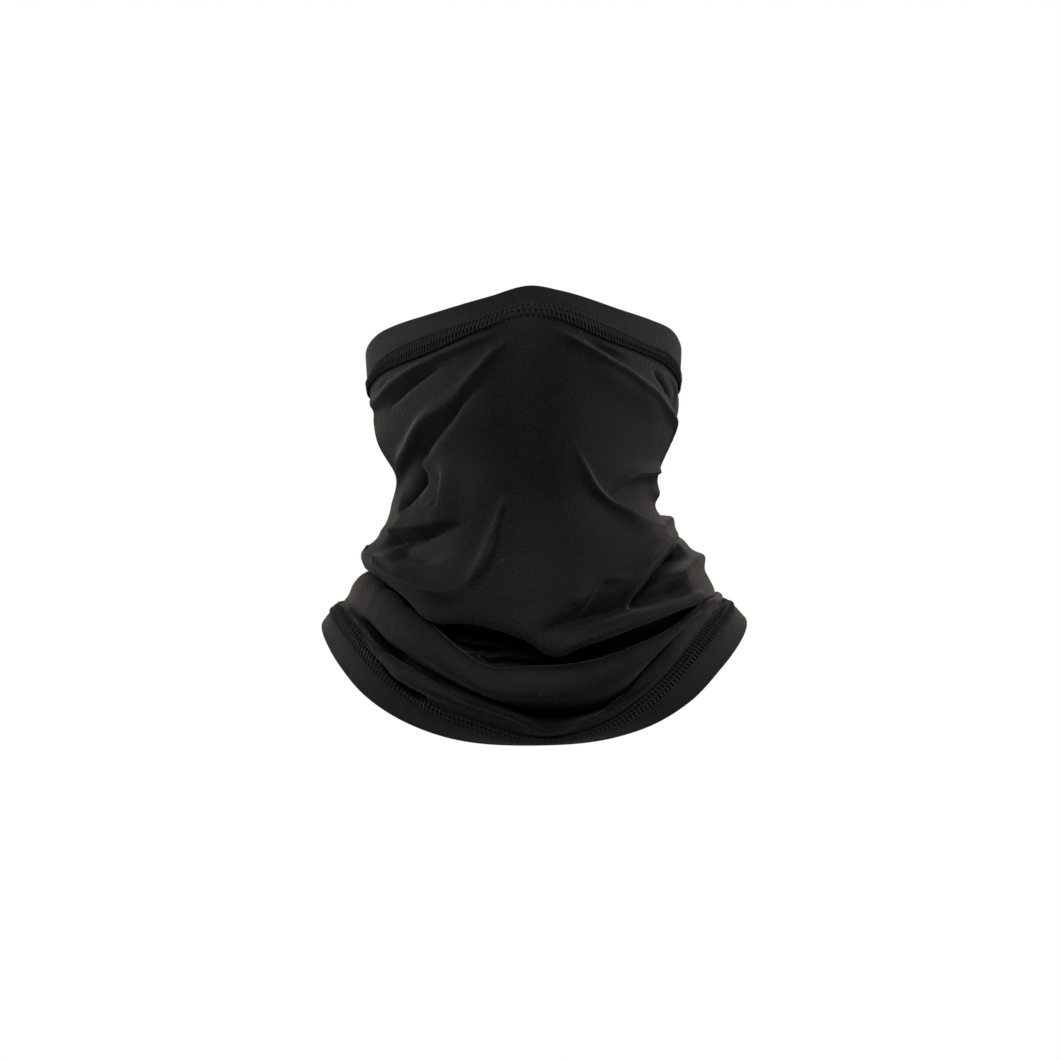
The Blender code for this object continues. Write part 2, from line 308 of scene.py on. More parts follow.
FOLDS = (
    # ridge from the nose to the right jaw, its thin upper part
    Fold(((-4.5, 2.65), (-12.6, 3.1), (-16.7, 3.3), (-22.5, 3.5), (-27.9, 3.75)),
         3.6, 2, 3, 0.3, 0.5),
    # and its rounded lower part
    Fold(((-16.7, 3.3), (-26.5, 3.7), (-38.2, 3.9), (-51.8, 4.4), (-70.6, 4.9), (-85.1, 5.7)),
         5.5, 3.2, 4.2, 0.5, 0.32, soft=True),
    # valley inside this ridge
    Fold(((-10.3, 3.55), (-21.2, 3.7), (-30.2, 4.1), (-41.4, 4.45), (-54.5, 4.9)),
         -4.5, 1.8, 1.8, 0.4, 0.2),
    # ridge round the right cheek
    Fold(((-7.2, 2.2), (-18.9, 2.2), (-28.8, 2.2), (-36.4, 2.3), (-45.9, 2.5), (-55.8, 2.65),
          (-65.7, 2.9), (-105.8, 2.35)),
         4.6, 2.8, 3.2, 0.12, 0.42, soft=True),
    # its lower end
    Fold(((-63, 2.8), (-81.5, 3.3), (-89.1, 3.5), (-93.2, 3.8), (-92.7, 4.3), (-77.4, 4.85)),
         0.6, 2.6, 3, 0.4, 0.3, soft=True),
    # the cheek ridge's crisp crest
    Fold(((-19.8, 2.2), (-28.8, 2.2), (-36.4, 2.3), (-45.9, 2.5), (-55.8, 2.65)),
         1.8, 1.3, 1.5, 0.3, 0.4),
    # valley inside the cheek ridge
    Fold(((-28.8, 2.9), (-37.8, 2.9), (-47.2, 3), (-55.8, 3.15), (-66.6, 3.4)),
         -4, 1.7, 1.5, 0.4, 0.3),
    # small fold by the right ear
    Fold(((-53.5, 2.1), (-67.1, 2.3), (-74.7, 2.45)),
         1.6, 1.6, 1.6, 0.3, 0.4),
    # thin ridge from the nose round the left cheek
    Fold(((9, 2.2), (11.7, 2.4), (16.2, 2.6), (22.1, 2.65), (27, 2.8), (33.3, 2.9), (39.6, 2.95),
          (46.4, 3.05), (54, 3.1), (60.7, 3.25), (68.9, 3.4), (75.2, 3.5), (85.1, 3.65), (91.4, 4.15),
          (90, 4.75)),
         4.2, 1.6, 2.2, 0.1, 0.25),
    # fuller cloth below it
    Fold(((18, 2.9), (33.3, 3.2), (51.3, 3.35), (69.3, 3.8)),
         1.8, 5, 8, 0.3, 0.3, soft=True),
    # hollow above the thin ridge
    Fold(((18.5, 2.2), (30.2, 2.4), (42.8, 2.6)),
         -2.8, 2.6, 3, 0.4, 0.4, soft=True),
    # fold by the left ear
    Fold(((52.7, 2), (64.8, 2), (72.9, 2.35), (76.1, 2.9), (76.1, 3.4)),
         1.8, 2.2, 2.4, 0.3, 0.3, soft=True),
    # crease inside this fold
    Fold(((53.6, 2.45), (62.5, 2.7), (70.2, 3.1)),
         -3.4, 1.6, 1.6, 0.4, 0.3),
    # left jaw ridge
    Fold(((16.7, 4.55), (20.7, 4.85), (24.8, 5.1), (30.2, 5.55), (36.9, 5.9), (43.6, 6.2), (50.8, 6.5),
          (61.2, 6.7), (76.5, 6.85)),
         4.4, 1.8, 2.4, 0.4, 0.3),
    # fuller cloth below its lower part
    Fold(((36.9, 5.9), (43.2, 6.25), (50, 6.6), (57.1, 6.75), (66.6, 6.8)),
         4, 2.4, 6, 0.4, 0.5, soft=True),
    # the jaw ridge's end round the side
    Fold(((58, 6.75), (80, 6.65), (104, 6.6), (128, 6.5), (150, 6.3)),
         4, 2.2, 3.4, 0.3, 0.4, soft=True),
    # notch below it
    Fold(((66, 7.25), (84, 7.25), (104, 7.2)),
         -2.6, 1.2, 1.4, 0.3, 0.3),
    # cloth pushed out above the jaw ridge's end
    Fold(((66, 5.45), (90, 5.5), (118, 5.4)),
         2.8, 4.5, 4, 0.4, 0.4, soft=True),
    # arch above the jaw ridge's lower part
    Fold(((39.6, 5.95), (43.6, 5.55), (47.2, 5.35), (53.6, 5.15), (63.5, 5.05), (88.2, 4.85)),
         4, 3.4, 1.2, 0.25, 0.2),
    # slit under the arch
    Fold(((45, 5.85), (50, 5.5), (56.7, 5.3), (70.2, 5.15), (88.6, 5)),
         -4, 1.2, 2.4, 0.4, 0.1),
    # right pocket
    Fold(((-48.2, 5.1), (-52.6, 5.35), (-59, 5.7), (-67.9, 6.1)),
         -11, 2.8, 3.6, 0.12, 0.2),
    # its rim
    Fold(((-45, 4.9), (-38.7, 5.1), (-36, 5.35), (-35.6, 5.7), (-40.5, 6), (-51.8, 6.2), (-68.8, 6.35)),
         4, 9, 3, 0.3, 0.25, soft=True),
    # fold over the right hollow
    Fold(((-72, 6.9), (-59.4, 6.75), (-47.2, 6.65), (-36.9, 6.5), (-25.2, 6.3)),
         6, 6.5, 1.3, 0.2, 0.5),
    # its end round the side
    Fold(((-150, 6.4), (-112, 6.9), (-88, 6.9), (-66, 6.9)),
         0.8, 3, 3, 0.4, 0.4, soft=True),
    # right hollow
    Fold(((-61.7, 7.3), (-47.7, 7.35), (-36.9, 7.3), (-27.4, 7.05)),
         -5, 5.5, 6, 0.2, 0.5, soft=True),
    # its deepest part
    Fold(((-72, 7.05), (-58.5, 6.85), (-46.8, 6.75), (-35.6, 6.6), (-22.5, 6.4)),
         -8.5, 1.2, 5.5, 0.2, 0.5),
    # roll under the right hollow
    Fold(((-72, 7.7), (-63.9, 7.9), (-57.2, 8.1), (-47.7, 8.2), (-39.2, 8.15), (-29.7, 8.1),
          (-20.2, 7.8)),
         6, 2.4, 4, 0.2, 0.3, soft=True),
    # its end round the side
    Fold(((-145, 7.5), (-112, 8), (-90, 8.1), (-70, 8.2)),
         1.6, 4, 4, 0.4, 0.3, soft=True),
    # crest right of the middle
    Fold(((-7.7, 5.85), (-9, 6.15), (-11.2, 6.55), (-13.9, 7)),
         2.8, 1.6, 3, 0.3, 0.5),
    # soft ridge below it
    Fold(((-9, 6.3), (-13.1, 6.85), (-15.3, 7.25), (-18.5, 7.55), (-24.8, 7.9)),
         4.2, 3, 4.5, 0.5, 0.4, soft=True),
    # ledge left of the middle
    Fold(((-1.3, 8.4), (9.9, 8.3), (17.1, 8.25), (20.2, 8.05), (23.4, 7.85), (29.7, 7.85),
          (39.6, 8.05)),
         4.2, 5, 1.3, 0.3, 0.3),
    # edge beside the left roll
    Fold(((31.9, 8.35), (45, 7.9), (72.9, 7.05)),
         4, 6, 1.5, 0.3, 0.2),
    # hollow inside the left roll
    Fold(((34.6, 8.5), (48.2, 8.1), (74.3, 7.4)),
         -12, 1.8, 5.5, 0.2, 0.2),
    # left roll
    Fold(((45.9, 8.65), (58.9, 8.3), (99.9, 8.15)),
         3.4, 3, 4, 0.3, 0.2, soft=True),
    # its end round the side
    Fold(((70, 8), (95, 8.05), (120, 7.8), (148, 7.5)),
         1.8, 3, 4, 0.3, 0.4, soft=True),
    # crease over the lip
    Fold(((-2.2, 8.55), (8.6, 8.4), (19.3, 8.4), (31.9, 8.45), (46.8, 8.5), (62.5, 8.5)),
         -9.5, 5.5, 3.6, 0.3, 0.15, soft=True),
    # its sharp foot
    Fold(((5, 8.55), (18.5, 8.55), (31.1, 8.6), (45, 8.65), (61.2, 8.7)),
         -4, 3, 1.6, 0.25, 0.15),
    # rolled lip
    Fold(((2.7, 8.9), (13.1, 8.85), (22.1, 8.85), (33.8, 8.9), (45.9, 8.85), (69.3, 8.85)),
         4, 2.4, 2.2, 0.2, 0.1, soft=True, rows=("seam_top_lower", "recess_roof")),
    # gap under the lip, right
    Fold(((-108, 12.15), (-59, 9), (-51.8, 11), (-44.1, 11.75), (-37.8, 10.95)),
         -12, 2.4, 3, 0.25, 0.2, rows=("lip", "drape_valley")),
    # fold in the recess
    Fold(((-32.4, 10.8), (-16.2, 10.55), (-3.2, 10.5), (6.3, 10.45)),
         12, 1.4, 1.6, 0.3, 0.3, rows=("recess_roof", "drape_crest")),
    # a second fold in the recess
    Fold(((-27.4, 11.5), (-13.1, 10.75), (1.8, 10.7), (16.7, 10.85)),
         12, 1.4, 1.6, 0.3, 0.3, rows=("recess_roof", "drape_crest")),
    # lower roll, right
    Fold(((-77, 14.6), (-66.6, 14.85), (-59, 14.9), (-47.7, 15.4), (-41.4, 15.15)),
         3, 2.2, 2.2, 0.3, 0.4, soft=True, rows=("drape_valley", "seam_low_upper")),
    # valley above the lower roll
    Fold(((-68.4, 13.85), (-56.7, 14.05), (-46.3, 14.2), (-36, 14.5), (-24.8, 14.6)),
         -9, 2.4, 1.8, 0.25, 0.5, soft=True, rows=("drape_face", "low_crest")),
    # the lower roll's fuller part
    Fold(((-53.5, 14.95), (-44.6, 15.65), (-38.7, 15.1), (-30.2, 15), (-16.7, 15)),
         5.5, 2.6, 2.4, 0.35, 0.4, soft=True, rows=("drape_valley", "seam_low_upper")),
    # gap under the lower roll
    Fold(((-51.3, 16.3), (-47.2, 16.35), (-41.4, 16.4), (-36, 16.35), (-30.6, 15.95)),
         -8, 2, 2, 0.3, 0.2, rows=("low_crest", "seam_low_lower")),
    # lower roll, left
    Fold(((108.9, 14), (61.7, 14.2), (51.3, 14.6), (42.8, 14.65), (36.4, 14.55), (28.3, 14.4),
          (16.2, 15.2)),
         6.5, 2.4, 2.6, 0.1, 0.3, soft=True, rows=("drape_valley", "seam_low_upper")),
    # groove under the top seam
    Fold(around(2.14),
         -1.5, 0.9, 0.9, NO_FADE, NO_FADE, rows=("edge_top", "cheek")),
    # crest under that
    Fold(around(2.34),
         1, 1.2, 1.2, NO_FADE, NO_FADE, rows=("edge_top", "cheek")),
    # groove above the bottom seam
    Fold(around(15.86),
         -1.6, 0.9, 0.9, NO_FADE, NO_FADE, rows=("drape_face", "edge_low")),
    # the topmost of four gathers at the nape
    Fold(((112, 3.1), (150, 3.5), (180, 3.7), (212, 3.4), (246, 3.2)),
         5.5, 3.4, 4.2, 0.3, 0.3, soft=True),
    # the second gather
    Fold(((96, 4.4), (145, 4.8), (178, 5.2), (210, 4.9), (262, 4.3)),
         6.5, 3.6, 4.6, 0.3, 0.3, soft=True),
    # the third gather
    Fold(((122, 5.9), (160, 6.3), (200, 6.5), (240, 6.1)),
         5.5, 3.2, 4, 0.3, 0.3, soft=True),
    # the fourth gather
    Fold(((104, 7.4), (140, 7.8), (180, 8.1), (222, 7.8), (255, 7.5)),
         6.5, 3.4, 4.2, 0.3, 0.3, soft=True),
    # crease between the first two gathers
    Fold(((120, 4), (150, 4.2), (180, 4.5), (212, 4.2), (240, 4)),
         -3, 2.4, 2.4, 0.3, 0.3),
    # crease between the second and the third
    Fold(((122, 5.3), (150, 5.5), (180, 5.9), (212, 5.7), (240, 5.3)),
         -3, 2.4, 2.4, 0.3, 0.3),
    # crease between the third and the fourth
    Fold(((122, 6.8), (150, 7), (180, 7.3), (212, 7.1), (240, 6.8)),
         -3, 2.4, 2.4, 0.3, 0.3),
)


def smooth_step(share):
    """0 up to 0, 1 from 1 on, and a smooth rise between them."""
    share = np.clip(share, 0.0, 1.0)
    return share * share * (3.0 - 2.0 * share)


def walked(path, count):
    """Evenly spaced points on a smooth curve through the path."""
    path = np.asarray(path, float)
    knots = np.concatenate([[0.0], np.cumsum(np.linalg.norm(np.diff(path, axis=0), axis=1))])
    at = np.linspace(0.0, knots[-1], count)
    return np.stack([curve(knots, path[:, k], at) for k in range(path.shape[1])], axis=-1)


def between(field, rows, columns):
    """The field's values at these rows and columns, which needn't be whole numbers."""
    r = np.minimum(rows.astype(int), field.shape[0] - 2)
    c = np.minimum(columns.astype(int), COLUMNS - 1)
    a, b = rows - r, columns - c
    if field.ndim == 3:
        a, b = a[..., None], b[..., None]
    upper = field[r, c] * (1 - b) + field[r, c + 1] * b
    lower = field[r + 1, c] * (1 - b) + field[r + 1, c + 1] * b
    return upper * (1 - a) + lower * a


def spine_of(grid, path):
    """Points on the grid along a path of (turn, row) places."""
    turns, rows = walked(path, SPINE_PLACES).T
    rows = np.clip(rows * STEPS, 0, len(grid) - 1.001)
    columns = np.mod((turns + 180.0) / 360.0 * COLUMNS, COLUMNS)
    line = between(grid, rows, columns)
    for _ in range(SPINE_SMOOTHING):
        line[1:-1] = (line[:-2] + 2 * line[1:-1] + line[2:]) / 4
    return walked(line, SPINE_POINTS)


def nearest(points, spine):
    """For each point, the number of the spine's nearest point."""
    near = np.zeros(len(points), int)
    for first in range(0, len(points), BATCH):
        part = points[first:first + BATCH]
        near[first:first + BATCH] = np.argmin(((part[:, None] - spine[None])**2).sum(-1), axis=1)
    return near


def height_across(fold, points, normal, spine, near):
    """The share of the fold's rise that each point has, from how far it lies off the spine."""
    along = np.gradient(spine, axis=0)
    along /= np.linalg.norm(along, axis=1, keepdims=True)
    offset = points - spine[near]
    side = (offset * np.cross(along[near], normal)).sum(1)
    apart = np.linalg.norm(offset, axis=1) / (np.where(side < 0, fold.before, fold.after) * MM)
    if fold.soft:
        return np.exp(-apart**2)
    return np.exp(-CRISP_FALL * (np.hypot(apart, CREST_ROUNDING) - CREST_ROUNDING))


def height_along(fold, share, rows, row_count):
    """How much of the fold is left here, near its ends and near the first and last rows it may touch."""
    height = smooth_step(share / fold.start) * smooth_step((1 - share) / fold.end)
    height *= smooth_step(rows * FADE_PER_ROW)
    if fold.rows[1] != "lip":  # a fold runs on over the lip, which hangs free
        height *= smooth_step((row_count - rows) * FADE_PER_ROW)
    return height


def raised(grid, folds):
    """The grid with every fold raised on it."""
    out = normals_of(grid)
    moved = np.zeros_like(grid)
    for fold in folds:
        low, high = int(step_of(fold.rows[0])), int(step_of(fold.rows[1]))
        flat, normal = grid[low:high + 1].reshape(-1, 3), out[low:high + 1].reshape(-1, 3)
        spine = spine_of(grid, fold.path)
        reach = FOLD_REACH * max(fold.before, fold.after) * MM
        box = np.all((flat > spine.min(0) - reach) & (flat < spine.max(0) + reach), axis=1)
        near = nearest(flat[box], spine)
        rows = np.nonzero(box)[0] // grid.shape[1] / STEPS
        height = height_across(fold, flat[box], normal[box], spine, near)
        height *= height_along(fold, near / (SPINE_POINTS - 1), rows, (high - low) / STEPS)
        target = moved[low:high + 1].reshape(-1, 3)
        target[box] += height[:, None] * normal[box] * fold.rise * MM
    moved[:, -1] = moved[:, 0] = (moved[:, 0] + moved[:, -1]) / 2
    return grid + moved


# ---------------------------------------------------------------- the finished surface

class Cloth:
    """The finished surface, read at any grid row, column and lift."""

    def __init__(self, grid):
        self.grid, self.normal = grid, normals_of(grid)
        steps = np.linalg.norm(np.diff(grid, axis=0), axis=-1)
        self.down = np.concatenate([np.zeros_like(steps[:1]), np.cumsum(steps, axis=0)])
        self.round = np.linalg.norm(np.diff(grid, axis=1), axis=-1).sum(axis=1)

    def read(self, field, rows, columns):
        """One of the fields above at these rows and columns, which may run past the back."""
        return between(field, np.clip(rows, 0.0, field.shape[0] - 1.0), np.mod(columns, COLUMNS))

    def at(self, rows, columns, lift):
        """Points at these places, lifted off the surface."""
        rows, columns = np.broadcast_arrays(np.asarray(rows, float), np.asarray(columns, float))
        normal = self.read(self.normal, rows, columns)
        normal = normal / np.linalg.norm(normal, axis=-1, keepdims=True)
        return self.read(self.grid, rows, columns) + normal * np.broadcast_to(lift, rows.shape)[..., None]


def added(name, mesh, finish):
    """The object with this mesh and material, in the scene."""
    mesh.shade_smooth()
    mesh.materials.append(finish)
    made = bpy.data.objects.new(name, mesh)
    bpy.context.scene.collection.objects.link(made)
    return made


def end_cap(index, column):
    """Faces that close the loop of points in this column."""
    last = len(index) - 1
    i = np.arange(len(index) // 2 - 1)
    return np.stack([index[i, column], index[last - i, column],
                     index[last - 1 - i, column], index[i + 1, column]], axis=-1)


def faces_of(index, closed):
    """Faces of a grid of points that closes on itself along its first axis, and where closed along both."""
    below = np.roll(index, -1, axis=0)
    if closed:
        right, below_right = np.roll(index, -1, axis=1), np.roll(below, -1, axis=1)
        return np.stack([index, below, below_right, right], axis=-1).reshape(-1, 4)
    sides = np.stack([index[:, :-1], below[:, :-1], below[:, 1:], index[:, 1:]], axis=-1).reshape(-1, 4)
    return np.concatenate([sides, end_cap(index, 0), end_cap(index, index.shape[1] - 1)[:, ::-1]])


def cloth_piece(name, points, uv, closed, finish):
    """An object from a grid of points and their places on the flat cloth."""
    index = np.arange(points.shape[0] * points.shape[1]).reshape(points.shape[:2])
    faces = faces_of(index, closed).astype(np.int32)
    mesh = bpy.data.meshes.new(name)
    mesh.vertices.add(index.size)
    mesh.vertices.foreach_set("co", points.reshape(-1).astype(np.float32))
    mesh.loops.add(faces.size)
    mesh.loops.foreach_set("vertex_index", faces.reshape(-1))
    mesh.polygons.add(len(faces))
    mesh.polygons.foreach_set("loop_start", np.arange(0, faces.size, 4, dtype=np.int32))
    mesh.update(calc_edges=True)
    flat = uv.reshape(-1, 2)[faces.reshape(-1)].astype(np.float32)
    mesh.uv_layers.new(name=FLAT_MAP).data.foreach_set("uv", flat.reshape(-1))
    mesh.validate()
    return added(name, mesh, finish)


def thread_rings(points, normal, closed, radii):
    """Oval rings of points round a thread, which narrows at its ends unless it is closed."""
    if closed:
        along = np.roll(points, -1, 0) - np.roll(points, 1, 0)
    else:
        along = np.gradient(points, axis=0)
    along /= np.maximum(np.linalg.norm(along, axis=1, keepdims=True), TINY)
    beside = np.cross(along, normal)
    beside /= np.maximum(np.linalg.norm(beside, axis=1, keepdims=True), TINY)
    up = np.cross(beside, along)
    turn = np.arange(THREAD_SIDES) * math.tau / THREAD_SIDES
    wide = radii[0] * np.cos(turn)[None, :, None] * beside[:, None]
    high = radii[1] * np.sin(turn)[None, :, None] * up[:, None]
    rings = points[:, None] + wide + high
    if not closed:
        for end in (0, -1):
            rings[end] = points[end] + (rings[end] - points[end]) * THREAD_TAPER
    return rings


def threads(name, lines, radii, finish):
    """One object of threads with an oval section, each line being (points, normals, closed)."""
    verts, faces, base = [], [], 0
    for points, normal, closed in lines:
        rings = thread_rings(points, normal, closed, radii)
        verts.append(rings.reshape(-1, 3))
        index = base + np.arange(rings.shape[0] * rings.shape[1]).reshape(rings.shape[:2])
        base += index.size
        here, there = (index, np.roll(index, -1, 0)) if closed else (index[:-1], index[1:])
        quads = np.stack([here, there, np.roll(there, -1, 1), np.roll(here, -1, 1)], axis=-1)
        faces += quads.reshape(-1, 4).tolist()
        if not closed:
            faces += [index[0].tolist(), index[-1][::-1].tolist()]
    mesh = bpy.data.meshes.new(name)
    mesh.from_pydata(np.concatenate(verts).tolist(), [], faces)
    mesh.update()
    return added(name, mesh, finish)


# ---------------------------------------------------------------- materials

def fill(tree, made, inputs):
    """Gives a node's inputs their values or links."""
    for key, value in inputs.items():
        if isinstance(value, bpy.types.NodeSocket):
            tree.links.new(value, made.inputs[key])
        else:
            made.inputs[key].default_value = value


def node(tree, kind, inputs, **settings):
    """A new node, with its settings and the values or links of its inputs."""
    made = tree.nodes.new(kind)
    for key, value in settings.items():
        setattr(made, key, value)
    fill(tree, made, inputs)
    return made


def noise(tree, place, scale, detail, roughness=0.5):
    """A cloudy pattern from 0 to 1, with about this many clouds to the metre."""
    inputs = {"Vector": place, "Scale": scale, "Detail": detail, "Roughness": roughness}
    return node(tree, "ShaderNodeTexNoise", inputs).outputs["Fac"]


def bands(tree, place, direction, period):
    """Sine bands of this period in metres. Blender's repeat every tau / 20 at scale 1."""
    made = node(tree, "ShaderNodeTexWave", {"Vector": place, "Scale": math.tau / 20 / period},
                wave_type="BANDS", bands_direction=direction, wave_profile="SIN")
    return made.outputs["Fac"]


def scaled(tree, value, times, plus):
    """value * times + plus, each of them a number or a link."""
    return node(tree, "ShaderNodeMath", {0: value, 1: times, 2: plus}, operation="MULTIPLY_ADD").outputs[0]


def blended(tree, share, first, second):
    """The first colour turning into the second, each of them a colour or a link."""
    mix = node(tree, "ShaderNodeMix", {0: share}, data_type="RGBA")
    sockets = [number for number, socket in enumerate(mix.inputs) if socket.type == "RGBA"]
    fill(tree, mix, dict(zip(sockets, (first, second))))
    return next(socket for socket in mix.outputs if socket.type == "RGBA")


def material(name):
    """A new material, with its node tree and its shader."""
    made = bpy.data.materials.new(name)
    made.use_nodes = True
    return made, made.node_tree, made.node_tree.nodes["Principled BSDF"]


def linted(tree, flat, colour):
    """The colour with tiny pale flecks, each at the middle of a cell, in some of the cells."""
    cells = node(tree, "ShaderNodeTexVoronoi", {"Vector": flat, "Scale": LINT_CELLS}, voronoi_dimensions="2D")
    size = scaled(tree, cells.outputs["Color"], 0.09, -0.052)
    fleck = node(tree, "ShaderNodeMath", {0: cells.outputs["Distance"], 1: size}, operation="LESS_THAN")
    return blended(tree, fleck.outputs[0], colour, LINT)


def jersey():
    """Black stretch jersey: fine ribs down the cloth, a soft sheen, faint unevenness and a little lint."""
    made, tree, shader = material("black_jersey")
    flat = node(tree, "ShaderNodeUVMap", {}, uv_map=FLAT_MAP).outputs["UV"]
    place = node(tree, "ShaderNodeTexCoord", {}).outputs["Object"]
    fuzz = noise(tree, place, FUZZ_SPECKS, 2.0, 0.6)
    knit = scaled(tree, bands(tree, flat, "Y", COURSE), 0.5, bands(tree, flat, "X", RIB))
    relief = scaled(tree, fuzz, 6.0, knit)
    bump = node(tree, "ShaderNodeBump", {"Height": relief, "Strength": 0.5, "Distance": KNIT_RELIEF})
    speckle = scaled(tree, fuzz, 12.0, -5.65)
    mottle = scaled(tree, noise(tree, place, MOTTLE_CLOUDS, 3.0), 0.4, speckle)
    colour = blended(tree, scaled(tree, knit, 0.08, mottle), JERSEY_DARK, JERSEY_PALE)
    fill(tree, shader, {
        "Base Color": linted(tree, flat, colour),
        "Normal": bump.outputs["Normal"],
        "Roughness": scaled(tree, fuzz, 0.2, 0.55),
        "Specular IOR Level": 0.35,
        "Sheen Weight": 0.35,
        "Sheen Roughness": 0.30,
        "Sheen Tint": SHEEN,
    })
    return made


def sewing_thread():
    """Spun polyester thread, a little glossier than the cloth."""
    made, tree, shader = material("black_thread")
    place = node(tree, "ShaderNodeTexCoord", {}).outputs["Object"]
    twist = noise(tree, place, TWIST_SPECKS, 2.0)
    bump = node(tree, "ShaderNodeBump", {"Height": twist, "Strength": 0.5, "Distance": TWIST_RELIEF})
    fill(tree, shader, {
        "Base Color": THREAD,
        "Normal": bump.outputs["Normal"],
        "Roughness": scaled(tree, twist, 0.2, 0.42),
        "Specular IOR Level": 0.4,
        "Sheen Weight": 0.1,
    })
    return made


# ---------------------------------------------------------------- pieces

def flat_uv(cloth, rows, columns):
    """Where points lie on the flat panel, in metres: round the neck, and down from the top edge."""
    rows, columns = np.broadcast_arrays(rows, columns)
    down = cloth.read(cloth.down, rows, columns)
    return np.stack([columns / COLUMNS * CUT_WIDTH, down], axis=-1)


def fabric_tube(cloth, finish):
    """The knit panel, with its cut edges under the seams."""
    rows = np.arange(math.ceil(JOIN_TOP), int(JOIN_LOW) + 1, dtype=float)
    columns = np.linspace(PANEL_EDGE, COLUMNS - PANEL_EDGE, COLUMNS + 1)[None]
    every_row = np.concatenate([rows, rows[::-1]])[:, None]
    lift = np.repeat([CLOTH / 2, -CLOTH / 2], len(rows))[:, None]
    points = cloth.at(every_row, columns, lift)
    return cloth_piece("jersey_tube", points, flat_uv(cloth, every_row, columns), False, finish)


def hem(cloth, name, edge, join, finish):
    """A strip folded in half, with its fold along the edge of the gaiter."""
    way = 1.0 if join > edge else -1.0
    spacing = abs(cloth.down[int(edge)].mean() - cloth.down[int(join)].mean()) / abs(join - edge)
    leaf = np.linspace(join, edge + way * 2.0 * HEM_HALF / spacing, HEM_ROWS)
    outline = [(row, HEM_HALF) for row in leaf]
    for angle in np.linspace(0.0, math.pi, HEM_FOLD_ROWS):
        inside = HEM_HALF * (1.0 - math.sin(angle)) / spacing
        outline.append((edge + way * inside, HEM_HALF * math.cos(angle)))
    outline += [(row, -HEM_HALF) for row in leaf[::-1]]
    outline += [(row, -HEM_SLIT / 2) for row in leaf[::4]]
    outline += [(row, HEM_SLIT / 2) for row in leaf[::4][::-1]]
    rows, lift = (np.array(values)[:, None] for values in zip(*outline))
    columns = np.arange(COLUMNS, dtype=float)[None]
    points, uv = cloth.at(rows, columns, lift), flat_uv(cloth, rows, columns)
    if way < 0:
        points, uv = points[::-1], uv[::-1]
    return cloth_piece(name, points, uv, True, finish)


def stitch_columns(cloth, row):
    """The column where each stitch starts, at an even pitch round the seam at this grid row."""
    ring_steps = np.linalg.norm(np.diff(cloth.grid[int(row)], axis=0), axis=-1)
    distance = np.concatenate([[0.0], np.cumsum(ring_steps)])
    count = int(round(distance[-1] / STITCH))
    starts = np.arange(count * 1.0) / count * distance[-1]
    return np.interp(starts, distance, np.arange(COLUMNS + 1.0))


def stitches(cloth, places, base, height, fullness):
    """Short arched stitches, one at each of these (rows, columns) places."""
    lines = []
    for rows, columns in places:
        arch = np.sin(np.pi * np.linspace(0.0, 1.0, len(rows))) ** fullness
        points = cloth.at(rows, columns, base + height * arch)
        lines.append((points, cloth.read(cloth.normal, rows, columns), False))
    return lines


def slant(turn, mirrored):
    """How far a stitch leans along the seam, in stitches. Mirrored ones lean the other way past the nose."""
    if mirrored and abs(turn) < 120:
        return 0.9 * math.tanh(turn / 6.0)
    return 0.35


def hem_zigzag(starts, upper, lower, mirrored):
    """Rows, columns and lifts of a zigzag. Each stitch goes down over the seam and comes back up under it."""
    pitch = COLUMNS / len(starts)
    rows, columns, lifts = [], [], []
    for start in starts:
        turn = start / COLUMNS * 360.0 - 180.0
        lean = slant(turn, mirrored)
        rows += [upper + (lower - upper) * LEG, upper + (lower - upper) * (1.0 - LEG)]
        columns += [start + pitch * (lean * LEG), start + pitch * (lean + (1.0 - lean) * LEG)]
        lifts += [HEM_HALF + COVER_LIFT + COVER_HUMP * np.sin(np.pi * LEG),
                  np.full(len(LEG), HEM_HALF - COVER_SUNK)]
    return np.concatenate(rows), np.concatenate(columns), np.concatenate(lifts)


def hem_seam(cloth, name, upper, lower, finish, mirrored):
    """A flat seam: zigzags of thread on both faces of the cloth, and three needle lines of short stitches."""
    starts = stitch_columns(cloth, (upper + lower) / 2)
    rows, columns, lifts = hem_zigzag(starts, upper, lower, mirrored)
    normal = cloth.read(cloth.normal, rows, columns)
    made = []
    for side, piece in ((1.0, "cover"), (-1.0, "looper")):
        line = (cloth.at(rows, columns, lifts * side), normal, True)
        made.append(threads(f"{name}_{piece}_zigzag", [line], COVER_RADII, finish))
    reach = COLUMNS / len(starts) * np.linspace(0.06, 0.94, 7)
    for number in (1, 2, 3):
        row = upper + (lower - upper) * (0.5 + (number - 2) * NEEDLE_PITCH / SEAM_WIDTH)
        places = [(np.full(7, row), start + reach) for start in starts]
        lines = stitches(cloth, places, HEM_HALF + 0.00055, 0.00055, 0.6)
        made.append(threads(f"{name}_needle_line_{number}", lines, NEEDLE_RADII, finish))
    return made


def back_zigzag(spans, half):
    """Rows, columns and lifts of a zigzag down the back, this many columns to each side of its middle."""
    rows, columns, lifts = [], [], []
    for a, b in spans:
        rows += [a + (b - a) * BACK_OUT * LEG, a + (b - a) * (BACK_OUT + (1.0 - BACK_OUT) * LEG)]
        columns += [-half + 2 * half * LEG, half - 2 * half * LEG]
        lifts += [np.full(len(LEG), CLOTH / 2 + lift) for lift in (BACK_COVER_LIFT, BACK_RETURN_LIFT)]
    return np.concatenate(rows), np.concatenate(columns), np.concatenate(lifts)


